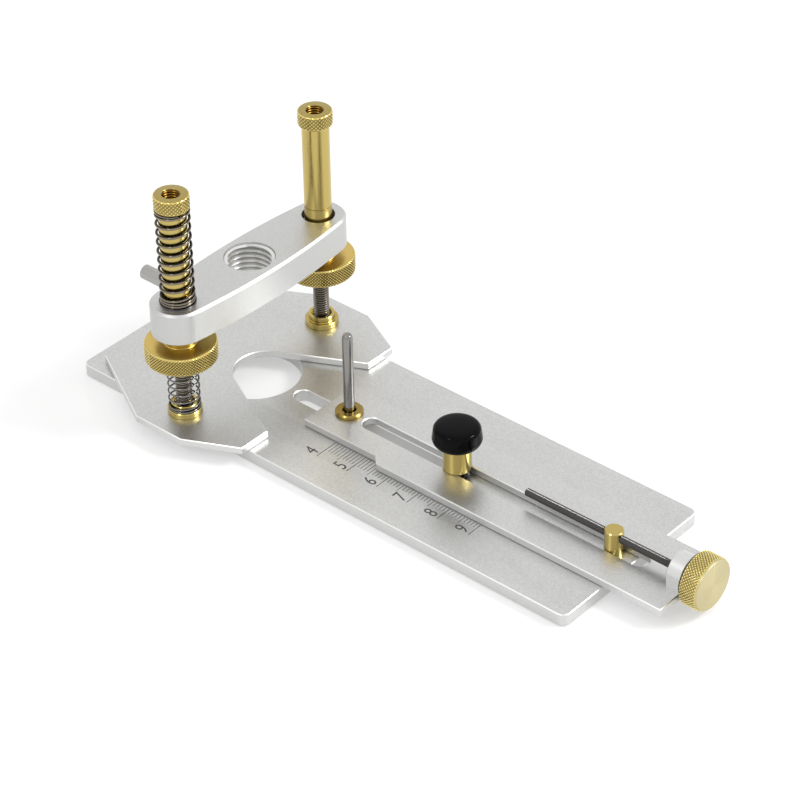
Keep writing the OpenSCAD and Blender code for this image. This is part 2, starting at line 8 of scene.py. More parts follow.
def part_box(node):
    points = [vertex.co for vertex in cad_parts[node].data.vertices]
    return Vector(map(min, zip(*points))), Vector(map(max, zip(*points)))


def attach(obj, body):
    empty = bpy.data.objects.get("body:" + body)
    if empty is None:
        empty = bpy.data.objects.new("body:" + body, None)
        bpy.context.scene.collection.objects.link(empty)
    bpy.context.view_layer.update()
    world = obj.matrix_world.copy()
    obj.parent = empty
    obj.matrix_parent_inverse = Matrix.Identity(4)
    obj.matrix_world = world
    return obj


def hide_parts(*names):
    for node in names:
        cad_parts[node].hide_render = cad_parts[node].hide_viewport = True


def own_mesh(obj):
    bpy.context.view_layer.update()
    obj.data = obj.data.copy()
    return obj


bl_info = {
    "name": "Sound hole cutting jig",
    "version": (1, 0, 0),
    "blender": (4, 5, 0),
    "location": "View3D > Sidebar > Jig",
    "description": "Dresses the packed jig with machined plates, knurled brass, threads and springs",
    "category": "Add Mesh",
}

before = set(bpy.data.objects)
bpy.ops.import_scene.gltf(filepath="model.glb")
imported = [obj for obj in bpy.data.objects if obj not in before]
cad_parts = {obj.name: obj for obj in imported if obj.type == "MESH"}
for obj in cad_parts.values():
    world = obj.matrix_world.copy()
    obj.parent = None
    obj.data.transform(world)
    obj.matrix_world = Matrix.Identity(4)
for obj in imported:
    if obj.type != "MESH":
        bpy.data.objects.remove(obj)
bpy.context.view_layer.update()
MM = 0.001
FULL_TURN = 2 * math.pi

# Sizes in millimetres that several pieces share
POST_Y = 36.8
POST_HEAD_R = 5.7
POST_THREAD_R = 2.95
SLOT_WIDTH = 7.0
CUTTER_HOLE_R = 17.25
LONG_TICK = 7.6
GROOVE_DEPTH = 0.2

# A radius up to this one lies on the axis
ON_AXIS = 1e-6

# The left post's axis and the adjusting screw's height in metres, for the looks that know their axis
SPRING_AXIS = (0, -0.0368, 0)
SCREW_AXIS = (0, 0, 0.01265)

# Mesh steps in one groove of a knurl, each way
KNURL_STEPS = 6

# Shares of the pitch and of the depth along one ridge of a thread
THREAD_FORM = [(0.0, 0.0), (0.3, 0.0), (0.58, 1.0), (0.72, 1.0)]

# Looks of a plate's face slots: blasted, engraving paint, cut wall, milled wall painted lighter as the side that faces
# the light, and broken edge painted much lighter as its highlight
PLATE_LOOKS = ("plate", "paint", "edge", "milled_painted_light", "broken_edge_highlight")
BRIDGE_LOOKS = ("bridge", "thread", "bridge_wall", "bridge_wall", "bridge_wall")
BRACKET_LOOKS = ("bridge", "paint", "milled_painted_light", "milled_painted_light", "milled_painted_light")

# Area lamps: name, place and width in metres, power in watts
LAMPS = (
    ("front", (0.0, -0.78, 0.85), 0.16, 1.3),
    ("back_right", (0.78, 0.5, 0.75), 0.3, 6.6),
)
LAMP_AIM = (0.06, 0, 0.03)

# The photograph's camera: azimuth, elevation and roll in degrees, the point it looks at in millimetres, its distance
# in metres, and its focal length and width in pixels
CAMERA_TURNS = (41.487, 35.919, -0.949)
CAMERA_AIM = (48.305, 25.700, 0)
CAMERA_DISTANCE = 1.118673
FOCAL_PIXELS, PHOTO_PIXELS = 3050.41, 800.0
SENSOR_WIDTH = 36.0

# Kinds of a node group's sockets, by how many numbers they hold
NUMBER, VECTOR, COLOUR = 1, 3, 4
SOCKET_KINDS = {NUMBER: "NodeSocketFloat", VECTOR: "NodeSocketVector", COLOUR: "NodeSocketColor"}
GREY = (0.6, 0.6, 0.6, 1)

# Depths of the bumps in metres, and the noise scale of the blasted grain
BLAST_DEPTH, MARK_DEPTH, BLAST_GRAIN = 0.00006, 0.00002, 1700.0

# Node groups and materials by name, filled by build_finishes
shared = {}
finish = {}


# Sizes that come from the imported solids, in millimetres
def low(node):
    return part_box(node)[0] / MM


def high(node):
    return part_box(node)[1] / MM


def middle(node):
    return (low(node) + high(node)) / 2


def size(node):
    return high(node) - low(node)


def heights(node):
    return low(node).z, high(node).z


# Shared mesh tools
def new_piece(name, shape, looks, body, replaced, face_slots=None, sharp=32.0):
    """Vertices in millimetres and their faces become a piece in metres that rides on a body.

    The face slots say which of the looks each face has. Edges that turn by more than sharp degrees stay sharp.
    """
    verts, faces = shape
    mesh = bpy.data.meshes.new(name)
    mesh.from_pydata([tuple(c * MM for c in v) for v in verts], [], faces)
    for look in looks:
        mesh.materials.append(finish[look])
    if face_slots:
        mesh.polygons.foreach_set("material_index", face_slots)
    mesh.validate()
    mesh.polygons.foreach_set("use_smooth", [True] * len(mesh.polygons))
    mesh.set_sharp_from_angle(angle=math.radians(sharp))
    mesh.update()
    piece = bpy.data.objects.new(name, mesh)
    bpy.context.scene.collection.objects.link(piece)
    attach(piece, body)
    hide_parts(*replaced)
    return piece


def turned_piece(name, outline, at, look, body, node, steps=96, along_x=False, sharp=32.0):
    """A plain turned piece in one finish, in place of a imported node."""
    return new_piece(name, placed([turned(outline, steps)], at, along_x), [look], body, [node], sharp=sharp)


def chamfered(points, width=0.35):
    """A turned outline gets a small chamfer at each corner that turns sharply."""
    out = []
    for i, p in enumerate(points):
        a, b = points[i - 1], points[(i + 1) % len(points)]
        to_a = Vector((a[0] - p[0], a[1] - p[1]))
        to_b = Vector((b[0] - p[0], b[1] - p[1]))
        if to_a.angle(to_b) > math.radians(150):
            out.append(p)
            continue
        w = min(width, to_a.length * 0.45, to_b.length * 0.45)
        pa = Vector(p) + to_a.normalized() * w
        pb = Vector(p) + to_b.normalized() * w
        out += [(pa.x, pa.y), (pb.x, pb.y)]
    return out


def knurl_band(r, z0, z1, pitch, depth):
    """Outline points of a rim with its knurl: each carries the depth and the pitch."""
    rows = max(2, round((z1 - z0) / pitch * KNURL_STEPS))
    return [(r, z0 + (z1 - z0) * i / rows, depth, pitch) for i in range(rows + 1)]


def knurl_drop(turn, z, teeth, pitch):
    """How deep the two crossing sets of grooves are at a point of the rim, from 0 to 1."""
    u = turn * teeth + z / pitch
    v = turn * teeth - z / pitch
    return max(abs(2 * (u % 1) - 1), abs(2 * (v % 1) - 1))


def turned(outline, steps=96, teeth=0):
    """Vertices and faces of a turned shape from a closed outline of (radius, height) points."""
    if teeth:
        steps = teeth * KNURL_STEPS
    verts, rings = [], []
    for p in outline:
        if p[0] <= ON_AXIS:
            rings.append([len(verts)] * steps)
            verts.append((0, 0, p[1]))
            continue
        rings.append(list(range(len(verts), len(verts) + steps)))
        for k in range(steps):
            r = p[0]
            if len(p) > 2:
                r -= p[2] * knurl_drop(k / steps, p[1], teeth, p[3])
            a = FULL_TURN * k / steps
            verts.append((r * math.cos(a), r * math.sin(a), p[1]))
    faces = []
    for i, a in enumerate(rings):
        b = rings[(i + 1) % len(rings)]
        if a[0] == a[1] and b[0] == b[1]:
            continue
        for k in range(steps):
            j = (k + 1) % steps
            faces.append(without_repeats([a[k], a[j], b[j], b[k]]))
    return verts, faces


def knurled(outline, r, pitch, slot_of):
    """A turned shape with a knurled rim, and the slot of each face by its distance from the axis and its height."""
    verts, faces = turned(outline, teeth=round(FULL_TURN * r / pitch))
    slots = []
    for face in faces:
        x, y, z = (sum(verts[i][k] for i in face) / len(face) for k in range(3))
        slots.append(slot_of(math.hypot(x, y), z))
    return (verts, faces), slots


def without_repeats(face):
    return [v for n, v in enumerate(face) if v not in face[:n]]


def threaded(r_out, r_in, z0, z1, pitch, steps=48, inside=False):
    """The flanks of a screw thread between two heights; its rows follow the helix."""
    verts, faces, known, rows = [], [], {}, []
    for t in range(-1, int((z1 - z0) / pitch) + 2):
        for share, deep in THREAD_FORM:
            row = []
            for k in range(steps + 1):
                z = z0 + (t + share + k / steps) * pitch
                clipped = min(max(z, z0), z1)
                r = r_out - (r_out - r_in) * (1 - deep if inside else deep)
                if z != clipped:
                    r = r_out if inside else r_in
                key = (k % steps, round(clipped, 5), round(r, 5))
                if key not in known:
                    known[key] = len(verts)
                    a = FULL_TURN * k / steps
                    verts.append((r * math.cos(a), r * math.sin(a), clipped))
                row.append(known[key])
            rows.append(row)
    for a, b in zip(rows, rows[1:]):
        for k in range(steps):
            face = [a[k], b[k], b[k + 1], a[k + 1]] if inside else [a[k], a[k + 1], b[k + 1], b[k]]
            face = without_repeats(face)
            z = [verts[v][2] for v in face]
            if len(face) > 2 and max(z) > min(z):
                faces.append(face)
    return verts, faces


def placed(parts, at=(0, 0, 0), along_x=False):
    """Joins meshes made about Z, moved to a place and, if asked, laid along X."""
    verts, faces = [], []
    for part_verts, part_faces in parts:
        n = len(verts)
        verts += part_verts
        faces += [[i + n for i in f] for f in part_faces]
    if along_x:
        verts = [(z, -y, x) for x, y, z in verts]
    return [(x + at[0], y + at[1], z + at[2]) for x, y, z in verts], faces


def signed_area(loop):
    return sum(loop[i - 1][0] * p[1] - p[0] * loop[i - 1][1] for i, p in enumerate(loop)) / 2


def wound(loop, left=True):
    """The loop with the inside on its left, or on its right."""
    return loop if (signed_area(loop) > 0) == left else loop[::-1]


def inset(loop, d):
    """A loop moved by d towards its left side."""
    out = []
    for i, point in enumerate(loop):
        p, a, b = Vector(point), Vector(loop[i - 1]), Vector(loop[(i + 1) % len(loop)])
        ea, eb = (p - a).normalized(), (b - p).normalized()
        m = Vector((-ea.y, ea.x)) + Vector((-eb.y, eb.x))
        m = m / max(m.length_squared / 2, 0.3)
        out.append((p.x + m.x * d, p.y + m.y * d))
    return out


def fill(loops):
    """Triangles between nested loops, by their places in the joined list of points."""
    points = [p for loop in loops for p in loop]
    faces = []
    for f in tessellate_polygon([[Vector((p[0], p[1], 0)) for p in loop] for loop in loops]):
        up = signed_area([points[i] for i in f])
        if abs(up) > 1e-9:
            faces.append(list(f) if up > 0 else list(reversed(f)))
    return faces


def added(verts, loop, z):
    """Adds a loop's points at a height and says which vertices they are."""
    start = len(verts)
    verts += [(x, y, z) for x, y in loop]
    return list(range(start, len(verts)))


def wall(a, b):
    """Faces between two rings of vertices."""
    return [[a[i], a[(i + 1) % len(a)], b[(i + 1) % len(b)], b[i]] for i in range(len(a))]


def machined(outline, holes, z0, z1, edge, foot, grooves=(), islands=(), mouth=1.0):
    """A plate with broken edges, through holes and shallow grooves.

    edge and foot are the widths of the broken upper and lower edges, and mouth is the share of them at the holes.
    The face slots are 0 for blasted, 1 for painted, 2 for cut walls, 3 for the milled walls that face +X, which the
    plates' looks paint lighter as the side that faces the light, and 4 for the broken upper edges, painted much lighter
    as their highlight.
    """
    groove_floor = z1 - GROOVE_DEPTH
    loops = [wound(outline)] + [wound(h, False) for h in holes]
    verts, faces, rings = [], [], []
    for z, d in ((z0, foot), (z0 + foot, 0.0), (z1 - edge, 0.0), (z1, edge)):
        rings.append([added(verts, inset(loop, d if n == 0 else d * mouth) if d else loop, z)
                      for n, loop in enumerate(loops)])
    for a, b in zip(rings, rings[1:]):
        for la, lb in zip(a, b):
            faces += wall(la, lb)
    kinds = []
    broken = len(faces) - sum(len(loop) for loop in loops)
    for n, f in enumerate(faces):
        run = Vector(verts[f[1]]) - Vector(verts[f[0]])
        # Walls that face +X get slot 3 and broken edges slot 4; the plates paint both lighter, as lit side and
        # highlight
        kinds.append(4 if n >= broken else 3 if run.y > 0.9 * run.length else 2)
    flat = [i for loop in rings[0] for i in loop]
    bottom = fill([[verts[i][:2] for i in loop] for loop in rings[0]])
    faces += [[flat[i] for i in reversed(f)] for f in bottom]
    cut = [wound(g, False) for g in grooves] + [wound(g) for g in islands]
    cut_rings = [added(verts, loop, z1) for loop in cut]
    flat = [i for loop in rings[-1] + cut_rings for i in loop]
    top = fill([[verts[i][:2] for i in loop] for loop in rings[-1]] + cut)
    faces += [[flat[i] for i in f] for f in top]
    painted = len(faces)
    for loop, ring in zip(cut, cut_rings):
        faces += wall(added(verts, loop, groove_floor), ring)
    for loop in cut[:len(grooves)]:
        xs, ys = zip(*loop)
        corners = [(min(xs), min(ys)), (max(xs), min(ys)), (max(xs), max(ys)), (min(xs), max(ys))]
        faces.append(added(verts, corners, groove_floor))
    return verts, faces, kinds + [0] * (painted - len(kinds)) + [1] * (len(faces) - painted)


def arc(cx, cy, r, a0, a1, steps):
    turns = [math.radians(a0 + (a1 - a0) * i / steps) for i in range(steps + 1)]
    return [(cx + r * math.cos(a), cy + r * math.sin(a)) for a in turns]


def ring_loop(cx, cy, r, steps=96):
    return arc(cx, cy, r, 0, 360, steps)[:-1]


def slot_loop(x0, x1):
    r = SLOT_WIDTH / 2
    return arc(x1 - r, 0, r, -90, 90, 24) + arc(x0 + r, 0, r, 90, 270, 24)


def rounded_box_loop(x0, x1, y0, y1, r):
    corners = [(x1 - r, y0 + r, -90), (x1 - r, y1 - r, 0), (x0 + r, y1 - r, 90), (x0 + r, y0 + r, 180)]
    return [p for x, y, a in corners for p in arc(x, y, r, a, a + 90, 8)]


def rounded(points, steps):
    """A smooth curve through outline points."""
    out = []
    last = len(points) - 1
    for i in range(last):
        p0, p1, p2, p3 = points[max(i - 1, 0)], points[i], points[i + 1], points[min(i + 2, last)]
        for k in range(steps):
            t = k / steps
            out.append(tuple(0.5 * (2 * p1[d] + (p2[d] - p0[d]) * t
                                    + (2 * p0[d] - 5 * p1[d] + 4 * p2[d] - p3[d]) * t * t
                                    + (3 * p1[d] - p0[d] - 3 * p2[d] + p3[d]) * t ** 3) for d in (0, 1)))
    out.append(points[-1])
    return out


def wire_spring(y, r, wire, z0, z1, curls, tight_low, tight_high):
    """A round wire wound about a post, with closed curls at both ends and ground flat there."""
    start, sides, rings = math.radians(200), 12, 32
    gap = wire * 1.03
    free = curls - tight_low - tight_high
    pitch = (z1 - z0 - (tight_low + tight_high) * gap) / free

    def height(u):
        if u < tight_low:
            return z0 + u * gap
        if u > curls - tight_high:
            return z1 - (curls - u) * gap
        return z0 + tight_low * gap + (u - tight_low) * pitch

    verts, faces = [], []
    count = int(curls * rings)
    for i in range(count + 1):
        u = i / rings
        a = FULL_TURN * u + start
        for k in range(sides):
            b = FULL_TURN * k / sides
            out = r + wire / 2 * math.cos(b)
            z = min(max(height(u) + wire / 2 * math.sin(b), z0), z1)
            verts.append((out * math.cos(a), y + out * math.sin(a), z))
    for i in range(count):
        for k in range(sides):
            j = (k + 1) % sides
            a, b = i * sides, (i + 1) * sides
            faces.append([a + k, b + k, b + j, a + j])
    faces.append(list(range(sides)))
    faces.append([count * sides + k for k in reversed(range(sides))])
    return verts, faces


# Material tools
class Tree:
    """Adds nodes to a node tree and feeds their sockets."""

    def __init__(self, tree):
        self.nodes, self.links = tree.nodes, tree.links

    def feed(self, socket, value):
        """A socket gets another node's output or a value."""
        if hasattr(value, "is_output"):
            self.links.new(value, socket)
        else:
            socket.default_value = value

    def add(self, kind, feeds=None, **settings):
        node = self.nodes.new(kind)
        for key, value in settings.items():
            setattr(node, key, value)
        for key, value in (feeds or {}).items():
            self.feed(node.inputs[key], value)
        return node

    def group(self, name, feeds):
        return self.add("ShaderNodeGroup", feeds, node_tree=shared[name]).outputs

    def math(self, operation, a, b=None, clamp=False):
        feeds = {0: a} if b is None else {0: a, 1: b}
        return self.add("ShaderNodeMath", feeds, operation=operation, use_clamp=clamp).outputs[0]

    def vector(self, operation, a, b):
        return self.add("ShaderNodeVectorMath", {0: a, 1: b}, operation=operation).outputs[0]

    def place(self):
        """The point in the piece's own metres."""
        return self.add("ShaderNodeTexCoord").outputs["Object"]

    def place_from(self, axis):
        return self.vector("SUBTRACT", self.place(), axis)

    def noise(self, place, scale, detail):
        return self.add("ShaderNodeTexNoise", {"Vector": place, "Scale": scale, "Detail": detail}).outputs["Fac"]

    def scaled(self, colour, gain):
        return self.add("ShaderNodeVectorMath", {0: colour, "Scale": gain}, operation="SCALE").outputs[0]

    def share(self, value, start, end):
        """How far a value has come from start to end, held between 0 and 1."""
        return self.add("ShaderNodeMapRange", {"Value": value, "From Min": start, "From Max": end}).outputs["Result"]

    def mixed(self, share, a, b):
        return self.add("ShaderNodeMix", {"Factor": share, "A": a, "B": b}, data_type="RGBA").outputs["Result"]

    def varied(self, base, wave, strength):
        """A base value plus a wave about zero, as strong as asked."""
        return self.math("ADD", self.math("MULTIPLY", wave, strength), base)


def node_group(name, inputs, outputs):
    """A new group, its tree and what goes into and out of it: inputs by their values, outputs by their kinds."""
    group = bpy.data.node_groups.new(name, "ShaderNodeTree")
    for label, value in inputs.items():
        kind = SOCKET_KINDS[len(value) if isinstance(value, tuple) else NUMBER]
        group.interface.new_socket(label, in_out="INPUT", socket_type=kind).default_value = value
    for label, count in outputs.items():
        group.interface.new_socket(label, in_out="OUTPUT", socket_type=SOCKET_KINDS[count])
    shared[name] = group
    return Tree(group), group.nodes.new("NodeGroupInput").outputs, group.nodes.new("NodeGroupOutput").inputs


def build_blast_grain():
    """Fine blasted grain: a colour with faint mottling, a roughness and a height."""
    tree, given, made = node_group("blast_grain", {
        "Colour": GREY, "Mottle": 0.04, "Roughness": 0.4, "Grain size": 2500.0,
    }, {"Colour": COLOUR, "Roughness": NUMBER, "Height": NUMBER})
    place = tree.place()
    fine = tree.noise(place, given["Grain size"], 3.0)
    wide = tree.noise(place, 45.0, 4.0)
    wide_share, both_middle = 0.15, 0.575
    both = tree.math("ADD", fine, tree.math("MULTIPLY", wide, wide_share))
    wave = tree.math("SUBTRACT", both, both_middle)
    tree.feed(made["Colour"], tree.scaled(given["Colour"], tree.varied(1.0, wave, given["Mottle"])))
    rough = tree.math("MULTIPLY", wave, 0.12)
    tree.feed(made["Roughness"], tree.math("ADD", rough, given["Roughness"], clamp=True))
    tree.feed(made["Height"], fine)


def build_turning_marks():
    """Fine circles left by a lathe about an upright axis, as a roughness and a height."""
    tree, given, made = node_group("turning_marks", {
        "Axis place": (0, 0, 0), "Stretch": (1, 1, 60), "Roughness": 0.25, "Spread": 0.12, "Scale": 900.0,
    }, {"Roughness": NUMBER, "Height": NUMBER})
    long = tree.vector("MULTIPLY", tree.place_from(given["Axis place"]), given["Stretch"])
    marks = tree.noise(long, given["Scale"], 2.0)
    spread = tree.math("MULTIPLY", tree.math("SUBTRACT", marks, 0.5), given["Spread"])
    tree.feed(made["Roughness"], tree.math("ADD", spread, given["Roughness"], clamp=True))
    tree.feed(made["Height"], marks)


def build_turned_face():
    """Painted highlights: lighter and darker fans about an axis along X, standing in for the light that a faced end
    reflects.
    """
    tree, given, made = node_group("painted_face_fans", {
        "Colour": GREY, "Axis place": (0, 0, 0), "Strength": 0.1,
    }, {"Colour": COLOUR})
    parts = tree.add("ShaderNodeSeparateXYZ", {0: tree.place_from(given["Axis place"])}).outputs
    turn = tree.math("ARCTAN2", parts["Y"], parts["Z"])
    wave = tree.math("COSINE", tree.varied(0.9, turn, 2.0))
    tree.feed(made["Colour"], tree.scaled(given["Colour"], tree.varied(1.0, wave, given["Strength"])))


def build_outer_polish():
    """Painted reflection on a wire: a highlight on the outside of its coils and painted shade inside, by distance from
    an upright axis.
    """
    tree, given, made = node_group("painted_coil_sheen", {
        "Colour": (0.3, 0.3, 0.3, 1), "Dark": (0.02, 0.02, 0.02, 1), "Axis place": (0, 0, 0),
        "Inner": 0.005, "Outer": 0.006,
    }, {"Colour": COLOUR})
    flat = tree.vector("MULTIPLY", tree.place_from(given["Axis place"]), (1, 1, 0))
    away = tree.add("ShaderNodeVectorMath", {0: flat}, operation="LENGTH").outputs["Value"]
    outside = tree.share(away, given["Inner"], given["Outer"])
    tree.feed(made["Colour"], tree.mixed(outside, given["Dark"], given["Colour"]))


def build_edge_wear():
    """Brighter metal where an edge stands out and darker in hollows: worn edges and dirt, and also painted highlights
    on crests and painted shade in grooves.
    """
    tree, given, made = node_group("wear_and_painted_light", {
        "Colour": GREY, "Bright": (0.9, 0.9, 0.9, 1), "Dark": (0.2, 0.2, 0.2, 1),
        "Edge": 0.5, "Dirt": 0.5, "Reach": 0.1,
    }, {"Colour": COLOUR})
    shape = tree.add("ShaderNodeNewGeometry").outputs["Pointiness"]
    point = tree.math("DIVIDE", tree.math("SUBTRACT", shape, 0.5), given["Reach"])
    # Lighter where an edge stands out: wear, and a painted highlight on crests
    edge = tree.math("MULTIPLY", tree.share(point, 0.2, 1.2), given["Edge"])
    # Darker in hollows: dirt, and painted shade in grooves and corners
    dirt_and_shade = tree.math("MULTIPLY", tree.share(point, -0.2, -1.0), given["Dirt"])
    worn_and_painted = tree.mixed(edge, given["Colour"], given["Bright"])
    tree.feed(made["Colour"], tree.mixed(dirt_and_shade, worn_and_painted, given["Dark"]))


def shader(name):
    """A new material, its tree and the sockets of its Principled node."""
    material = bpy.data.materials.new(name)
    material.use_nodes = True
    return material, Tree(material.node_tree), material.node_tree.nodes["Principled BSDF"].inputs


def add_bump(tree, skin, height, strength, distance):
    bump = tree.add("ShaderNodeBump", {"Strength": strength, "Distance": distance, "Height": height})
    tree.feed(skin["Normal"], bump.outputs["Normal"])


def linear(colour):
    return [((c + 0.055) / 1.055) ** 2.4 if c > 0.04045 else c / 12.92 for c in colour[:3]]


def tint(colour, *gains):
    """A colour made lighter or darker by one factor, or by one for each channel."""
    return [min(1, c * k) for c, k in zip(colour, gains * 3 if len(gains) == 1 else gains)]


def worn_colour(tree, colour, bright, dark, **feeds):
    """A colour with its worn edges and painted highlights, and its dirt and painted shade in hollows, each by its gain
    on the colour.
    """
    feeds |= {"Colour": (*colour, 1), "Bright": (*tint(colour, bright), 1), "Dark": (*tint(colour, dark), 1)}
    return tree.group("wear_and_painted_light", feeds)["Colour"]


def grained(tree, skin, colour, roughness, mottle, grain):
    """Puts the blasted grain on a surface; its height is for a bump."""
    blast = tree.group("blast_grain", {
        "Colour": colour, "Roughness": roughness, "Mottle": mottle, "Grain size": grain})
    tree.feed(skin["Base Color"], blast["Colour"])
    tree.feed(skin["Roughness"], blast["Roughness"])
    return blast["Height"]


def blasted_metal(name, colour, roughness, mottle):
    material, tree, skin = shader(name)
    # Edges worn and painted lighter, hollows dirty and painted darker as shade
    worn_and_painted = worn_colour(tree, colour, 1.25, 0.7, Edge=0.5, Dirt=0.3)
    height = grained(tree, skin, worn_and_painted, roughness, mottle, BLAST_GRAIN)
    tree.feed(skin["Metallic"], 1.0)
    add_bump(tree, skin, height, 0.5, BLAST_DEPTH)
    return material


def turned_metal(name, colour, roughness, axis=(0, 0, 0), spread=0.12, edge=0.6, dirt_and_shade=0.6, bump=0.05, dark=0.35,
                 bright=1.3, reach=0.1, painted_fans=0.0, polished=None):
    """Metal off a lathe, worn at its edges, with highlights painted on its edges and shade painted in its hollows.

    The last two arguments are the strength of the highlight fans painted on a faced end, and the inner and outer
    distance from the axis between which a wire's colour turns from painted shade to painted highlight.
    """
    material, tree, skin = shader(name)
    look = worn_colour(tree, colour, bright, dark, Edge=edge, Dirt=dirt_and_shade, Reach=reach)
    # Highlight fans painted on a faced end
    if painted_fans:
        look = tree.group("painted_face_fans", {"Colour": look, "Axis place": axis, "Strength": painted_fans})["Colour"]
    # A wire painted from shade inside its coils to a highlight outside
    if polished:
        look = tree.group("painted_coil_sheen", {
            "Colour": look, "Dark": (*tint(colour, dark), 1), "Axis place": axis, "Inner": polished[0],
            "Outer": polished[1]})["Colour"]
    marks = tree.group("turning_marks", {"Axis place": axis, "Roughness": roughness, "Spread": spread})
    tree.feed(skin["Base Color"], look)
    tree.feed(skin["Roughness"], marks["Roughness"])
    tree.feed(skin["Metallic"], 1.0)
    add_bump(tree, skin, marks["Height"], bump, MARK_DEPTH)
    return material


def coated(name, colour, roughness, mottle, grain):
    """A paint or a plastic; its grain's height is for a bump."""
    material, tree, skin = shader(name)
    return material, tree, skin, grained(tree, skin, (*linear(colour), 1), roughness, mottle, grain)


def build_finishes(looks):
    for build in (build_blast_grain, build_turning_marks, build_edge_wear, build_turned_face, build_outer_polish):
        build()
    plate, brass = linear(looks.plate_colour), linear(looks.brass_colour)
    steel, dark = linear(looks.steel_colour), linear(looks.dark_steel_colour)
    rough = looks.plate_roughness
    for key, name, colour, roughness, mottle in (
            ("plate", "blasted_aluminium", plate, rough, 0.5),
            ("bridge", "bridge_aluminium", tint(plate, 0.95), rough, 0.35),
            ("edge", "cut_edge_aluminium", tint(plate, 1.03), 0.46, 0.2),
            # Walls painted lighter: the plates' walls that face +X, as the side that faces the light, and the bracket's
            # walls
            ("milled_painted_light", "milled_painted_light_aluminium", tint(plate, 1.1), 0.42, 0.2),
            # Broken upper edges painted much lighter as a highlight along them
            ("broken_edge_highlight", "broken_edge_painted_highlight_aluminium", tint(plate, 1.32), 0.42, 0.2),
            ("bridge_wall", "bridge_wall_aluminium", tint(plate, 0.92), 0.46, 0.2)):
        finish[key] = blasted_metal(name, colour, roughness, mottle)
    # Knurl crests painted bright as highlights and grooves painted near black as shade
    deep_knurl = {"edge": 1.0, "dirt_and_shade": 1.0, "dark": 0.06, "bright": 2.0, "reach": 0.035}
    # The adjusting knob's knurl: painted highlights on its crests and painted shade in its grooves
    knob_knurl = {"edge": 1.0, "dirt_and_shade": 0.95, "dark": 0.12, "bright": 1.7, "reach": 0.04}
    # Highlight fans painted on the adjusting knob's faced end
    faced = {"axis": SCREW_AXIS, "spread": 0.2, "bump": 0.1, "painted_fans": 0.05}
    # Spring wire painted with a highlight outside its coils and shade inside
    dark_wire = {"edge": 0.4, "dirt_and_shade": 0.3, "spread": 0.1, "axis": SPRING_AXIS, "dark": 0.07,
                 "polished": (0.00605, 0.00636)}
    thin_wire = {"edge": 0.4, "dirt_and_shade": 0.3, "axis": SPRING_AXIS, "dark": 0.32, "polished": (0.00566, 0.00586)}
    # Each finish's wear and dirt, and its painted highlights and shade
    for key, name, colour, roughness, wear_and_painted_light_settings in (
            ("thread", "cut_aluminium", tint(plate, 1.2), 0.34, {"edge": 0.7, "dirt_and_shade": 0.7}),
            ("brass", "turned_brass", brass, 0.21, {}),
            ("knurl", "knurled_brass", tint(brass, 0.88), 0.2, deep_knurl),
            # The faced end painted lighter and paler than the brass, as the face that takes the light
            ("face", "faced_painted_light_brass", tint(brass, 1.2, 1.36, 2.4), 0.42, faced),
            # Painted lighter and paler than the brass, as the side that faces the light
            ("knob_knurl", "knob_knurled_painted_light_brass", tint(brass, 1.2, 1.26, 1.5), 0.22, knob_knurl),
            # The wheel's dish painted lighter to offset the shade under the bridge
            ("dish", "dish_painted_light_brass", tint(brass, 1.35, 1.25, 1.1), 0.32, {}),
            # Painted shade: the adjusting knob's back rim painted dark, standing for the shade on it
            ("painted_shade", "painted_shade_brass", tint(brass, 0.22), 0.45, {}),
            ("cap", "cap_brass", tint(brass, 0.82), 0.2, {}),
            # The caps' threaded bores painted dark brown as the shade inside them
            ("bore", "bore_painted_shade_brass", tint(brass, 0.42, 0.28, 0.14), 0.3, {}),
            ("bronze", "bush_bronze", tint(brass, 0.6, 0.54, 0.45), 0.24, {}),
            ("steel", "ground_steel", tint(steel, 1.1), 0.14, {}),
            ("screw", "bright_screw_steel", steel, 0.28, {"edge": 0.6, "dirt_and_shade": 0.7}),
            ("tube", "bright_tube_steel", tint(steel, 1.65), 0.2, {}),
            ("post", "threaded_steel", tint(dark, 1.55, 1.46, 1.32), 0.24, {"edge": 0.8, "dirt_and_shade": 0.9, "dark": 0.15}),
            ("rod", "dark_screw_steel", tint(dark, 0.58), 0.17, {"edge": 0.4, "dirt_and_shade": 0.3, "spread": 0.1}),
            ("spring", "spring_steel", tint(dark, 1.6, 1.42, 1.15), 0.12, dark_wire),
            ("thin_spring", "bright_spring_wire", tint(steel, 1.1), 0.14, thin_wire)):
        finish[key] = turned_metal(name, colour, roughness, **wear_and_painted_light_settings)
    finish["paint"] = coated("engraving_paint", looks.paint_colour, 0.6, 0.25, 4000.0)[0]
    finish["knob"], tree, skin, height = coated("gloss_black_plastic", looks.knob_colour, 0.09, 0.1, 900.0)
    tree.feed(skin["Specular IOR Level"], 0.08)
    add_bump(tree, skin, height, 0.02, MARK_DEPTH)


def give(node, look):
    """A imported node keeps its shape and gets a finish."""
    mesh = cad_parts[node].data
    mesh.materials.clear()
    mesh.materials.append(finish[look])


# What the sidebar offers
def length_property(name, description, millimetres):
    return bpy.props.FloatProperty(name=name, description=description, default=millimetres * MM, unit="LENGTH")


def colour_property(name, description, *value):
    return bpy.props.FloatVectorProperty(name=name, description=description, subtype="COLOR", default=value)


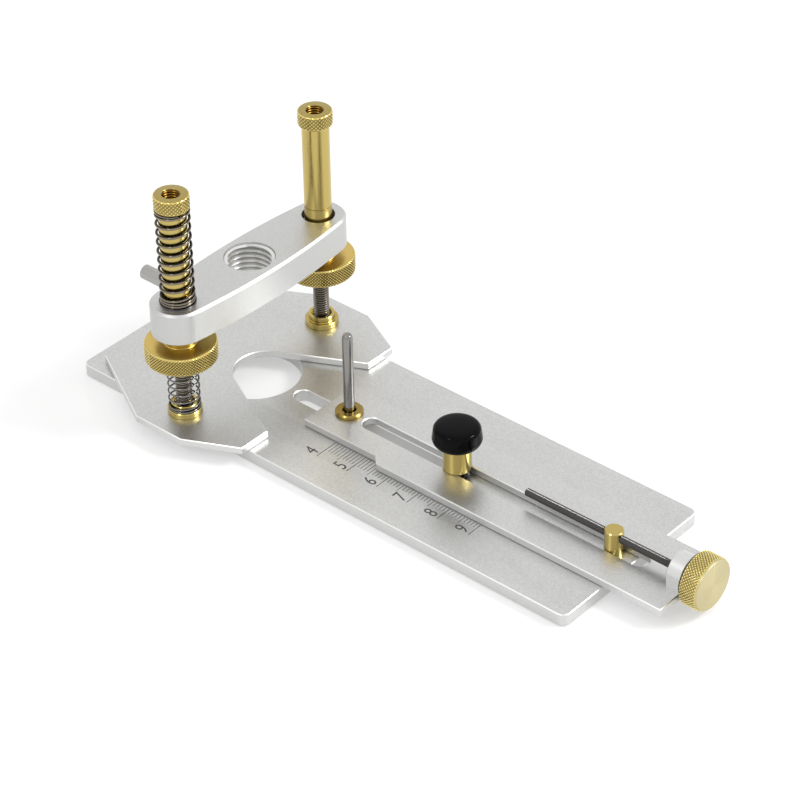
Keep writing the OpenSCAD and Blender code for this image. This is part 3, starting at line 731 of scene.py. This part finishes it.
class JigSizes(bpy.types.PropertyGroup):
    knurl_pitch: length_property("Knurl pitch", "Distance between the knurl's grooves", 1.22)
    cap_knurl_pitch: length_property("Cap knurl pitch", "Distance between the caps' knurl grooves", 1.45)
    knob_knurl_pitch: length_property("Knob knurl pitch", "Distance between the adjusting knob's knurl grooves", 1.28)
    knurl_depth: length_property("Knurl depth", "Depth of the knurl's grooves", 0.42)
    post_pitch: length_property("Post thread pitch", "Pitch of the posts' thread", 1.0)
    nose_pitch: length_property("Nose thread pitch", "Pitch of the thread for the tool's nose", 2.117)
    screw_pitch: length_property("Adjusting screw pitch", "Pitch of the adjusting screw", 0.5)
    edge_break: length_property("Edge break", "Width of the bright edges of the plates", 0.3)
    scale_step: length_property("Scale step", "Distance between two numbers", 14.0)
    scale_start: length_property("Scale start", "Place of the number 4", 52.34)
    tick_foot: length_property("Tick foot", "Distance of the long ticks' feet from the middle", 23.87)


class JigLooks(bpy.types.PropertyGroup):
    plate_colour: colour_property("Plate colour", "Blasted aluminium", 0.79, 0.79, 0.785)
    plate_roughness: bpy.props.FloatProperty(
        name="Plate roughness", description="Roughness of the blasted plates", default=0.38, min=0, max=1,
        subtype="FACTOR")
    brass_colour: colour_property("Brass colour", "Turned brass", 0.72, 0.645, 0.385)
    steel_colour: colour_property("Steel colour", "Ground steel", 0.51, 0.505, 0.495)
    dark_steel_colour: colour_property("Dark steel colour", "Spring steel", 0.42, 0.415, 0.41)
    knob_colour: colour_property("Knob colour", "Black plastic", 0.01, 0.01, 0.01)
    paint_colour: colour_property("Engraving colour", "Paint in the engraved scale", 0.3, 0.3, 0.3)


# What builds the pieces
class Builder:
    """Builds an operator's pieces by the sizes in the panel."""

    def execute(self, context):
        self.build(context.scene.jig_sizes)
        return {"FINISHED"}


class JIG_OT_plates(Builder, bpy.types.Operator):
    """Base plate with its engraved scale, router base plate and their screws"""
    bl_idname = "jig.plates"
    bl_label = "Plates"

    def build(self, sizes):
        edge = sizes.edge_break / MM
        a, b = low("base_plate"), high("base_plate")
        outline = rounded_box_loop(a.x, b.x, a.y, b.y, 3.0)
        holes = [ring_loop(0, 0, CUTTER_HOLE_R, 128), slot_loop(20.5, 101.6)]
        *shape, slots = machined(outline, holes, a.z, b.z, edge, 0.3, *scale_marks(sizes))
        new_piece("plate_base", shape, PLATE_LOOKS, "base", ["base_plate"], slots)
        a, b = low("router_base_plate"), high("router_base_plate")
        holes = [ring_loop(0, side * POST_Y, 2.9, 48) for side in (-1, 1)]
        *shape, slots = machined(router_loop(a, b), holes, a.z, b.z, edge, 0.4)
        new_piece("plate_router_base", shape, PLATE_LOOKS, "base", ["router_base_plate"], slots)
        for node in ("base_screws", "nut_screw", "bracket_screws"):
            give(node, "screw")


def router_loop(a, b):
    """The eight-sided plate with its notch, which opens to +X and ends in an arc."""
    # Half widths of the right end, its notch and the left end, and half the length of the long edges
    right, mouth, left, long = 40.6, 27.3, 31.3, 11
    centre_x, r = 5.9, 12.6
    away = Vector((b.x, mouth)) - Vector((centre_x, 0.0))
    angle = math.degrees(math.atan2(away.y, away.x) + math.acos(r / away.length))
    notch = arc(centre_x, 0, r, angle, 360 - angle, 48)
    return [(b.x, -right), (b.x, -mouth)] + notch[::-1] + [
        (b.x, mouth), (b.x, right), (long, b.y), (-long, b.y), (a.x, left), (a.x, -left), (-long, a.y), (long, a.y)]


def scale_marks(sizes):
    """Grooves of the ticks and numbers on the near strip, and the islands in the numbers."""
    step, start, foot = sizes.scale_step / MM, sizes.scale_start / MM, -sizes.tick_foot / MM
    tick_lengths, short_tick = {0: LONG_TICK, 5: 4.7}, 3.3
    grooves, islands = [], []
    for n in range(51):
        x, tenth = start + step * n / 10, n % 10
        bottom = foot + LONG_TICK - tick_lengths.get(tenth, short_tick) if tenth else foot
        top = -17.2 if x > 74.5 else -13.75  # the slide covers the ticks sooner beyond its pointer
        half = 0.13 if tenth else 0.15
        grooves.append([(x - half, bottom), (x + half, bottom), (x + half, top), (x - half, top)])
    for number in range(4, 10):
        outer, inner = glyph(str(number), start + step * (number - 4) - 3.9, foot + 1.1)
        grooves += outer
        islands += inner
    return grooves, islands


def glyph(text, x, y):
    """Outlines of one number whose top points to -X, about its middle."""
    height, narrowing = 5.5, 0.74
    curve = bpy.data.curves.new("glyph", "FONT")
    curve.body = text
    curve.size = 1.0
    curve.offset = 0.004
    curve.resolution_u = 4
    holder = bpy.data.objects.new("glyph", curve)
    bpy.context.scene.collection.objects.link(holder)
    bpy.context.view_layer.update()
    mesh = bpy.data.meshes.new_from_object(holder.evaluated_get(bpy.context.evaluated_depsgraph_get()))
    bpy.data.objects.remove(holder)
    loops = rims(mesh)
    bpy.data.meshes.remove(mesh)
    xs = [p.x for loop in loops for p in loop]
    ys = [p.y for loop in loops for p in loop]
    scale = height / (max(ys) - min(ys))
    cx, cy = (max(xs) + min(xs)) / 2, (max(ys) + min(ys)) / 2
    out = [[(x - (p.y - cy) * scale, y + (p.x - cx) * scale * narrowing) for p in loop] for loop in loops]
    out.sort(key=lambda loop: -abs(signed_area(loop)))
    return out[:1], out[1:]


def rims(mesh):
    """The closed loops of points along a flat mesh's open edges."""
    work = bmesh.new()
    work.from_mesh(mesh)
    bmesh.ops.remove_doubles(work, verts=work.verts, dist=1e-5)
    rim = {}
    for edge in work.edges:
        if len(edge.link_faces) == 1:
            corner = edge.link_loops[0]
            rim[corner.vert.index] = corner.link_loop_next.vert.index
    work.verts.ensure_lookup_table()
    loops = []
    while rim:
        chain, at = [], next(iter(rim))
        while at in rim:
            chain.append(work.verts[at].co.xy.copy())
            at = rim.pop(at)
        loops.append(chain)
    work.free()
    return loops


class JIG_OT_posts(Builder, bpy.types.Operator):
    """Threaded posts and the brass bosses at their feet"""
    bl_idname = "jig.posts"
    bl_label = "Posts"

    def build(self, sizes):
        pitch = sizes.post_pitch / MM
        for side in ("left", "right"):
            post, boss = side + "_post", side + "_boss"
            at, r = (0, middle(post).y, 0), POST_THREAD_R
            bottom, top = heights(post)
            head = turned([(0, bottom), (POST_HEAD_R, bottom), (r - 0.6, bottom + 3.2), (r - 0.6, top - 0.4),
                           (r - 0.9, top), (0, top)])
            flanks = threaded(r, r - 0.5, bottom + 2.4, top - 0.5, pitch)
            new_piece("post_" + side, placed([head, flanks], at), ["post"], "base", [post])
            z = low(boss).z
            outline = chamfered([(3.0, z), (6.35, z), (6.35, z + 2.2), (4.95, z + 2.2), (4.95, z + 4.4), (3.7, z + 4.4),
                                 (3.7, z + 2.2), (3.0, z + 2.2)], 0.22)
            turned_piece("boss_" + side, outline, at, "brass", "base", boss)


class JIG_OT_thumb_wheels(Builder, bpy.types.Operator):
    """Knurled thumb wheels with their hubs and necks"""
    bl_idname = "jig.thumb_wheels"
    bl_label = "Thumb wheels"

    def build(self, sizes):
        pitch, depth = sizes.knurl_pitch / MM, sizes.knurl_depth / MM
        for side in ("left", "right"):
            node = side + "_thumb_wheel"
            y, r, neck = middle(node).y, size(node).x / 2, size(side + "_sleeve").x / 2
            z0, z1 = heights(node)
            top = z0 + 7.3  # of the rim
            outline = [(3.0, z0), (r - 1.0, z0), (r - 0.7, z0 + 0.12)]
            outline += knurl_band(r, z0 + 0.7, top - 0.5, pitch, depth)
            outline += [(r - 0.6, top - 0.08), (r - 0.85, top), (6.3, top), (6.0, top + 0.3), (6.0, top + 3.9),
                        (5.7, top + 4.2), (neck, top + 4.2), (neck, z1), (3.0, z1)]
            # Slot 2 is the dish, painted lighter to offset the shade under the bridge
            wheel, slots = knurled(outline, r, pitch, lambda away, z: (
                1 if away > r - 0.65 else 2 if away > 6.1 and z > top - 0.01 else 0))
            new_piece("thumb_wheel_" + side, placed([wheel], (0, y, 0)), ("brass", "knurl", "dish"), side + "_wheel",
                      [node], slots, sharp=24.0)


class JIG_OT_columns(Builder, bpy.types.Operator):
    """Sleeves, knurled caps and the two springs"""
    bl_idname = "jig.columns"
    bl_label = "Sleeves, caps and springs"

    def build(self, sizes):
        pitch, depth = sizes.cap_knurl_pitch / MM, sizes.knurl_depth / MM * 0.75
        for side in ("left", "right"):
            node = side + "_sleeve"
            y, r = middle(node).y, size(node).x / 2
            z0, z1 = heights(node)
            outline = chamfered([(3.05, z0), (r, z0), (r, z1), (3.05, z1)], 0.25)
            turned_piece("sleeve_" + side, outline, (0, y, 0), "brass", "columns", node)
            node = side + "_cap"
            r = size(node).x / 2
            z0, z1 = heights(node)
            outline = [(3.25, z0), (r - 0.5, z0), (r - 0.4, z0 + 0.1)]
            outline += knurl_band(r, z0 + 0.4, z1 - 0.3, pitch, depth)
            outline += [(r - 0.45, z1 - 0.05), (r - 0.6, z1), (3.4, z1), (3.25, z1 - 0.15)]
            cap, slots = knurled(outline, r, pitch, lambda away, z: 1 if away > r - 0.5 else 0)
            bore = threaded(3.22, 3.0, z0 + 0.1, z1 - 0.15, 1.0, inside=True)
            new_piece("cap_" + side, placed([cap, bore], (0, y, 0)), ("cap", "knurl", "bore"), "columns",
                      [node], slots + [2] * len(bore[1]), sharp=24.0)
        y = middle("left_post").y
        z0, z1 = heights("upper_spring")
        shape = wire_spring(y, 5.9, 1.04, z0, z1, 12.4, 2.2, 1.1)
        spring = new_piece("spring_upper", shape, ["spring"], "columns", ["upper_spring"])
        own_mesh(spring)
        z0, z1 = heights("lower_spring")
        shape = wire_spring(y, 5.6, 0.65, z0, z1, 8.5, 1.1, 1.1)
        spring = new_piece("spring_lower", shape, ["thin_spring"], "base", ["lower_spring"])
        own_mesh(spring)


class JIG_OT_bridge(Builder, bpy.types.Operator):
    """Bridge with its nose thread, air nipple and spring washer"""
    bl_idname = "jig.bridge"
    bl_label = "Bridge"

    def build(self, sizes):
        a, b = low("bridge"), high("bridge")
        post = high("right_post").y - POST_HEAD_R
        nose_r, hole_r = 9.2, 5.95
        holes = [ring_loop(0, 0, nose_r)] + [ring_loop(0, side * post, hole_r) for side in (-1, 1)]
        *body, slots = machined(bridge_loop(b, post), holes, a.z, b.z, 0.8, 0.4, mouth=0.35)
        ledge = turned([(5.15, a.z + 0.4), (hole_r, a.z + 0.4), (hole_r, b.z - 5.0), (5.15, b.z - 5.0)])
        ledges = [placed([ledge], (0, side * post, 0)) for side in (-1, 1)]
        pitch = sizes.nose_pitch / MM
        thread = threaded(nose_r - 0.01, 8.1, a.z + 0.05, b.z - 0.6, pitch, 96, inside=True)
        slots += [0] * len(ledge[1]) * len(ledges) + [1] * len(thread[1])
        new_piece("bridge_body", placed([body, *ledges, thread]), BRIDGE_LOOKS, "bridge", ["bridge"], slots)
        a, b = low("air_nipple"), high("air_nipple")
        c, length = (a + b) / 2, b.x - a.x
        neck = length - 6.2
        outline = chamfered([(1.4, 0), (2.8, 0), (2.8, neck), (2.5, neck), (2.5, length), (1.4, length)], 0.25)
        turned_piece("air_tube", outline, (a.x, c.y, c.z), "tube", "bridge", "air_nipple", 64, along_x=True)
        give("spring_washer", "rod")


def bridge_loop(b, post):
    """A lens: two long bowed sides, and a round end about each post."""
    end, half = b.y - post, b.x
    side_r = (post ** 2 + half ** 2 - end ** 2) / (2 * (half - end))
    lean = math.degrees(math.asin(post / (side_r - end)))
    arcs = [(half - side_r, 0, side_r, -lean, lean), (0, post, end, lean, 180 - lean),
            (side_r - half, 0, side_r, 180 - lean, 180 + lean), (0, -post, end, 180 + lean, 360 - lean)]
    return [p for sizes in arcs for p in arc(*sizes, 40)[:-1]]


class JIG_OT_slide(Builder, bpy.types.Operator):
    """Slide with its pointer, end bracket, pivot bush and pin"""
    bl_idname = "jig.slide"
    bl_label = "Slide and pivot"

    def build(self, sizes):
        edge = sizes.edge_break / MM
        a, b = low("slide_bar"), high("slide_bar")
        nose, shoulder = 13.45, a.x + 34.0
        wide = shoulder + 33.7 / 2 - nose
        outline = [(a.x, -nose), (shoulder, -nose), (wide, a.y), (b.x, a.y), (b.x, b.y), (wide, b.y), (shoulder, nose),
                   (a.x, nose)]
        *shape, slots = machined(outline, [slot_loop(a.x + 17.1, a.x + 144.6)], a.z, b.z, edge, 0.3)
        new_piece("slide_plate", shape, PLATE_LOOKS, "slide", ["slide_bar"], slots)
        add_bracket(edge)
        at = (middle("pivot_pin").x, 0, 0)
        z0, z1 = heights("pivot_pin")
        outline = [(0, z0), (1.5, z0), (2.0, z0 + 0.5), (2.0, z1 - 1.1), (1.6, z1 - 0.15), (1.45, z1), (0, z1)]
        turned_piece("pin_pivot", outline, at, "steel", "pin", "pivot_pin", 64)
        z0, z1 = heights("pivot_bush")
        outline = [(2.05, z0), (3.45, z0), (3.45, b.z), (5.0, b.z), (5.2, b.z + 0.2), (5.2, z1 - 0.5), (4.7, z1),
                   (2.7, z1), (2.25, z1 - 0.5), (2.05, z1 - 1.2)]
        turned_piece("bush_pivot", outline, at, "bronze", "slide", "pivot_bush")


def add_bracket(edge):
    """The round-topped bracket, drawn lying flat and then stood across the slide's end."""
    a, b = low("end_bracket"), high("end_bracket")
    half = b.y
    outline = [(-half, a.z), (half, a.z)] + arc(0, b.z - half, half, 0, 180, 40)
    hole = ring_loop(0, middle("adjusting_screw").z, 1.5, 48)
    verts, faces, slots = machined(outline, [hole], 0, b.x - a.x, edge, edge)
    verts = [(a.x + z, x, y) for x, y, z in verts]
    new_piece("bracket_end", (verts, faces), BRACKET_LOOKS, "slide", ["end_bracket"], slots)


class JIG_OT_lock(Builder, bpy.types.Operator):
    """Lock bolt, its collar and the black knob"""
    bl_idname = "jig.lock"
    bl_label = "Lock"

    def build(self, sizes):
        at = (middle("lock_collar").x, 0, 0)
        r = size("lock_collar").x / 2
        z0, z1 = heights("lock_collar")
        outline = chamfered([(2.5, z0), (r, z0), (r, z1), (2.5, z1)], 0.3)
        turned_piece("collar_lock", outline, at, "brass", "collar", "lock_collar")
        r = size("lock_knob").x / 2
        z0, z1 = heights("lock_knob")
        pocket_r, pocket_top = 4.02, z1 - 2.4
        outline = rounded([
            (pocket_r, z0), (r - 2.8, z0), (r - 1.4, z0 + 0.4), (r - 0.5, z0 + 1.2), (r - 0.05, z0 + 2.5),
            (r - 0.15, z0 + 3.5), (r - 0.5, z1 - 2.5), (r - 0.8, z1 - 1.75), (r - 1.45, z1 - 1.15), (r - 2.8, z1 - 0.8),
            (r - 5.5, z1 - 0.55), (0, z1 - 0.45)], 5) + [(0, pocket_top), (pocket_r, pocket_top)]
        turned_piece("knob_lock", outline, at, "knob", "knob", "lock_knob", 128, sharp=45.0)
        give("lock_bolt", "screw")
        give("lock_knob_insert", "brass")


class JIG_OT_adjuster(Builder, bpy.types.Operator):
    """Fine adjusting screw, its knob and the barrel nut"""
    bl_idname = "jig.adjuster"
    bl_label = "Fine adjuster"

    def build(self, sizes):
        axis_z, x0, length = middle("adjusting_screw").z, low("adjusting_screw").x, size("adjusting_screw").x
        core = turned([(0, 0), (1.2, 0), (1.32, 0.15), (1.32, length), (0, length)], 48)
        flanks = threaded(1.46, 1.34, 0.2, length - 8, sizes.screw_pitch / MM, 32)
        shape = placed([core, flanks], (x0, 0, axis_z), along_x=True)
        new_piece("screw_adjusting", shape, ["rod"], "screw", ["adjusting_screw"])
        node = "adjusting_knob"
        x0, length, r = low(node).x, size(node).x, size(node).y / 2
        pitch, depth = sizes.knob_knurl_pitch / MM, sizes.knurl_depth / MM
        outline = [(1.5, 0), (4.0, 0), (4.0, 0.6), (r - 1.3, 0.6), (r - 0.45, 1.6)]
        outline += knurl_band(r, 1.7, length - 0.75, pitch, depth)
        outline += [(r - 0.5, length - 0.65), (r - 0.55, length - 0.15), (r - 0.7, length), (0, length),
                    (0, length - 2), (1.5, length - 2)]
        # Slot 3 is the back rim, painted dark as the shade on it; slot 2 is the faced end
        knob, slots = knurled(outline, r, pitch, lambda away, along: (
            3 if along < 1.66 else 1 if away > r - 0.45 else 2 if along > length - 0.7 else 0))
        shape = placed([knob], (x0, 0, axis_z), along_x=True)
        new_piece("knob_adjusting", shape, ("brass", "knob_knurl", "face", "painted_shade"), "screw", [node], slots,
                  sharp=24.0)
        seat = 5.0
        z0, z1 = heights("barrel_nut")
        outline = [(1.27, z0), (2.5, z0), (2.5, seat), (3.4, seat), (3.4, z1 - 0.35), (3.05, z1), (0, z1), (0, seat),
                   (1.27, seat)]
        turned_piece("nut_barrel", outline, (middle("barrel_nut").x, 0, 0), "brass", "base", "barrel_nut", 64)
        give("retaining_ring", "screw")
        give("grub_screw", "screw")


def seen(tree):
    """1 where a ray comes from the camera, through glass or from a mirror, and otherwise 0."""
    rays = tree.add("ShaderNodeLightPath").outputs
    straight = tree.math("MAXIMUM", rays["Is Camera Ray"], rays["Is Transmission Ray"])
    return tree.math("MAXIMUM", straight, rays["Is Glossy Ray"])


def floor_material():
    """White that shines a little where it is seen, but doesn't light the jig by that."""
    material, tree, skin = shader("floor_white")
    tree.feed(skin["Base Color"], (0.93, 0.93, 0.93, 1))
    tree.feed(skin["Roughness"], 0.9)
    tree.feed(skin["Specular IOR Level"], 0.0)
    blend = tree.add("ShaderNodeMixShader", {
        0: tree.math("MULTIPLY", seen(tree), 0.4), 1: tree.nodes["Principled BSDF"].outputs["BSDF"],
        2: tree.add("ShaderNodeEmission").outputs["Emission"]})
    tree.feed(tree.nodes["Material Output"].inputs["Surface"], blend.outputs["Shader"])
    return material


def studio_world():
    """White all round, and a little weaker as a light than where it is seen."""
    world = bpy.data.worlds.new("studio")
    world.use_nodes = True
    tree = Tree(world.node_tree)
    backdrop = tree.nodes["Background"].inputs
    tree.feed(backdrop["Color"], (1, 1, 1, 1))
    level = tree.add("ShaderNodeMapRange", {"Value": seen(tree), "To Min": 0.98, "To Max": 1.0})
    tree.feed(backdrop["Strength"], level.outputs["Result"])
    return world


class JIG_OT_stage(bpy.types.Operator):
    """Floor, studio light and the camera at the photograph's angle"""
    bl_idname = "jig.stage"
    bl_label = "Stage"

    def execute(self, context):
        floor = bpy.data.meshes.new("floor")
        floor.from_pydata([(x, y, -0.0002) for x, y in ((-3, -3), (3, -3), (3, 3), (-3, 3))], [], [(0, 1, 2, 3)])
        floor_piece = bpy.data.objects.new("floor", floor)
        context.scene.collection.objects.link(floor_piece)
        floor.materials.append(floor_material())
        context.scene.world = studio_world()
        for name, place, width, power in LAMPS:
            lamp = bpy.data.lights.new(name, "AREA")
            lamp.size = width
            lamp.energy = power
            holder = bpy.data.objects.new(name, lamp)
            holder.location = place
            aim = Vector(LAMP_AIM) - Vector(place)
            holder.rotation_euler = aim.to_track_quat("-Z", "Y").to_euler()
            context.scene.collection.objects.link(holder)
        add_camera(context)
        context.scene.view_settings.view_transform = "Standard"
        return {"FINISHED"}


def add_camera(context):
    """The photograph's view of a point on the base plate."""
    az, el, roll = (math.radians(v) for v in CAMERA_TURNS)
    back = Vector((math.sin(az) * math.cos(el), -math.cos(az) * math.cos(el), math.sin(el)))
    right = Vector((math.cos(az), math.sin(az), 0))
    up = back.cross(right)
    x = right * math.cos(roll) + up * math.sin(roll)
    y = up * math.cos(roll) - right * math.sin(roll)
    camera = bpy.data.cameras.new("camera")
    camera.sensor_width = SENSOR_WIDTH
    camera.lens = FOCAL_PIXELS * SENSOR_WIDTH / PHOTO_PIXELS
    camera.clip_start, camera.clip_end = 0.05, 20.0
    holder = bpy.data.objects.new("camera", camera)
    turn = holder.matrix_world.to_3x3()
    turn.col[0], turn.col[1], turn.col[2] = x, y, back
    holder.matrix_world = turn.to_4x4()
    holder.location = Vector(CAMERA_AIM) * MM + back * CAMERA_DISTANCE
    context.scene.collection.objects.link(holder)
    context.scene.camera = holder


class JIG_PT_panel(bpy.types.Panel):
    """Sizes, looks and pieces of the jig"""
    bl_label = "Sound hole cutting jig"
    bl_idname = "JIG_PT_panel"
    bl_space_type = "VIEW_3D"
    bl_region_type = "UI"
    bl_category = "Jig"

    def draw(self, context):
        layout = self.layout
        for group in (context.scene.jig_sizes, context.scene.jig_looks):
            box = layout.box()
            for name in group.bl_rna.properties.keys():
                if name not in ("rna_type", "name"):
                    box.prop(group, name)
        for operator in OPERATORS:
            layout.operator(operator.bl_idname)


OPERATORS = (JIG_OT_stage, JIG_OT_plates, JIG_OT_posts, JIG_OT_thumb_wheels, JIG_OT_columns, JIG_OT_bridge,
             JIG_OT_slide, JIG_OT_lock, JIG_OT_adjuster)
CLASSES = (JigSizes, JigLooks) + OPERATORS + (JIG_PT_panel,)


def register():
    for cls in CLASSES:
        bpy.utils.register_class(cls)
    bpy.types.Scene.jig_sizes = bpy.props.PointerProperty(type=JigSizes)
    bpy.types.Scene.jig_looks = bpy.props.PointerProperty(type=JigLooks)


def unregister():
    del bpy.types.Scene.jig_looks
    del bpy.types.Scene.jig_sizes
    for cls in reversed(CLASSES):
        bpy.utils.unregister_class(cls)


def main():
    register()
    build_finishes(bpy.context.scene.jig_looks)
    bpy.ops.jig.stage()
    bpy.ops.jig.plates()
    bpy.ops.jig.posts()
    bpy.ops.jig.thumb_wheels()
    bpy.ops.jig.columns()
    bpy.ops.jig.bridge()
    bpy.ops.jig.slide()
    bpy.ops.jig.lock()
    bpy.ops.jig.adjuster()
    bpy.context.view_layer.update()


if __name__ == "__main__":
    main()
